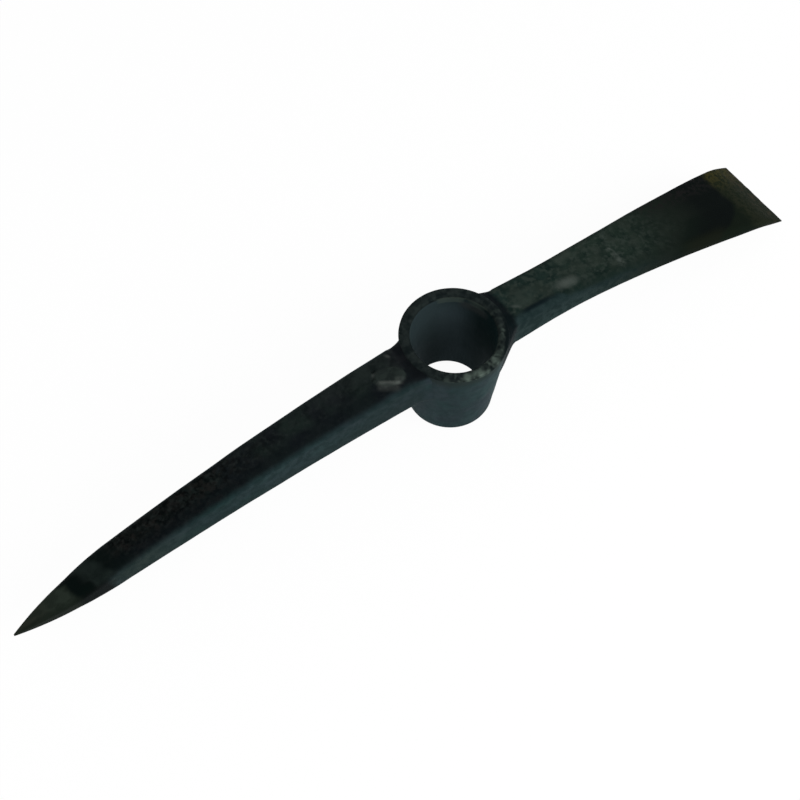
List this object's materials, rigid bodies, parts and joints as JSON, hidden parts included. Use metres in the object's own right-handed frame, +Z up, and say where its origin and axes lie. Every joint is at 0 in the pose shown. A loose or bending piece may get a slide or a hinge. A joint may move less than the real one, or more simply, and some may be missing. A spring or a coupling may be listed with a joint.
{
  "type": "pickaxe head",
  "caption": "Steel pickaxe head with a round tapered eye collar, a long pointed arm and a narrow bladed arm, both curving towards the handle's side; the eye is open and holds no handle.",
  "frame": {"origin": "middle of the head's length and width, on the plane of the collar's base, on which the head stands", "axes": "+X along the head towards the cutting edge, +Y across it, +Z up the eye from the handle's side to the rim"},
  "size_m": [0.486, 0.0578, 0.06],
  "materials": {
    "coated_steel": "forged steel under a thin blue-black coat, satin, with scale, specks of wear on the rim and rubbed corners",
    "weld_metal": "smooth weld metal under the same blue-black coat, a little darker",
    "hard_steel": "hard steel, dark from heat at the joint, ground to an olive and straw colour at the point and the cutting edge"
  },
  "bodies": {
    "root": {"eye_collar": "coated_steel", "point_arm": "coated_steel", "blade_arm": "coated_steel", "point_root_weld": "weld_metal", "blade_root_weld": "weld_metal", "point_tip": "hard_steel", "blade_edge": "hard_steel"}
  },
  "joints": []
}
